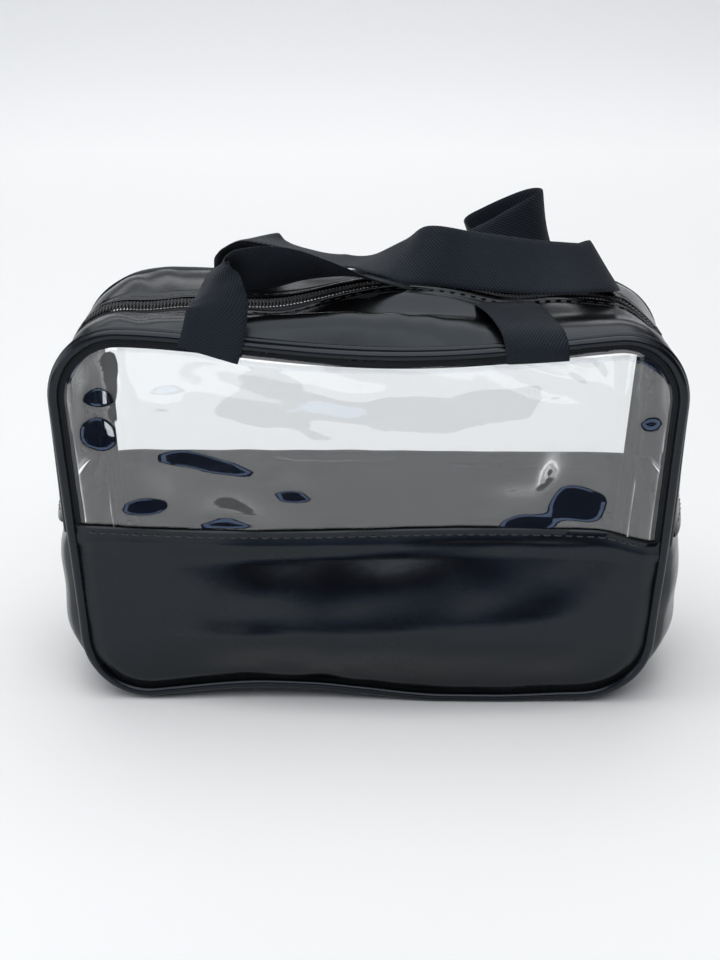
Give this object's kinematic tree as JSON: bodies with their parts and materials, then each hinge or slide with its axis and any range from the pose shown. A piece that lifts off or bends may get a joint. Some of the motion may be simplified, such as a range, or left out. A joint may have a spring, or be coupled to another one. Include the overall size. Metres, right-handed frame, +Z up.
{
  "type": "makeup bag",
  "caption": "Soft box-shaped makeup bag with clear upper windows, dark lower panels, corded edges, a long top zip and two webbing carry handles.",
  "frame": {"origin": "centre of the footprint, on the surface that the bag stands on", "axes": "+X along the bag's length to the right, +Y from the front panel to the back panel, +Z up"},
  "size_m": [0.266, 0.1066, 0.2113],
  "materials": {
    "clear_vinyl": "clear glossy soft plastic sheet",
    "black_pu": "smooth satin coated fabric",
    "piping_pu": "satin coated fabric over a cord",
    "webbing": "fine twill woven webbing",
    "zip_tape": "matt woven tape",
    "zip_coil": "satin nylon coil",
    "binding": "ribbed binding tape",
    "thread": "twisted sewing thread",
    "zip_metal": "gloss black enamel"
  },
  "bodies": {
    "shell": {"front_window": "clear_vinyl", "back_window": "clear_vinyl", "front_lower_panel": "black_pu", "back_lower_panel": "black_pu", "front_hem_stitching": "thread", "back_hem_stitching": "thread", "front_piping": "piping_pu", "back_piping": "piping_pu", "front_seam_binding": "binding", "back_seam_binding": "binding", "base_gusset": "black_pu", "left_zip_gusset": "black_pu", "right_zip_gusset": "black_pu", "left_zip_tape": "zip_tape", "right_zip_tape": "zip_tape", "left_zip_coil": "zip_coil", "right_zip_coil": "zip_coil", "left_zip_stop": "zip_metal", "right_zip_stop": "zip_metal", "left_side_stitching": "thread", "right_side_stitching": "thread"},
    "front_flap": {"front_zip_strip": "black_pu", "front_zip_tape": "zip_tape", "front_zip_coil": "zip_coil", "front_strip_stitching": "thread"},
    "back_flap": {"back_zip_strip": "black_pu", "back_zip_tape": "zip_tape", "back_zip_coil": "zip_coil", "back_strip_stitching": "thread"},
    "slider": {"zip_slider": "zip_metal"},
    "tab": {"pull_tab": "zip_metal"},
    "front_loop": {"front_handle": "webbing"},
    "back_loop": {"back_handle": "webbing"}
  },
  "joints": [
    {"name": "front_flap_fold", "type": "hinge", "parent": "shell", "child": "front_flap", "pos_m": [0, -0.0446, 0.168], "axis": [-1, 0, 0], "range_deg": [0, 85]},
    {"name": "back_flap_fold", "type": "hinge", "parent": "shell", "child": "back_flap", "pos_m": [0, 0.0446, 0.168], "axis": [1, 0, 0], "range_deg": [0, 85]},
    {"name": "zip_travel", "type": "slide", "parent": "shell", "child": "slider", "axis": [-1, 0, 0], "range_m": [0, 0.18]},
    {"name": "tab_swing", "type": "hinge", "parent": "slider", "child": "tab", "pos_m": [0.09, 0, 0.1699], "axis": [0, 1, 0], "range_deg": [0, 60]},
    {"name": "front_handle_lift", "type": "hinge", "parent": "shell", "child": "front_loop", "pos_m": [0, -0.0522, 0.161], "axis": [1, 0, 0], "range_deg": [0, 150], "deforming": ["front_handle"]},
    {"name": "back_handle_lift", "type": "hinge", "parent": "shell", "child": "back_loop", "pos_m": [0, 0.0522, 0.161], "axis": [-1, 0, 0], "range_deg": [0, 150]}
  ]
}
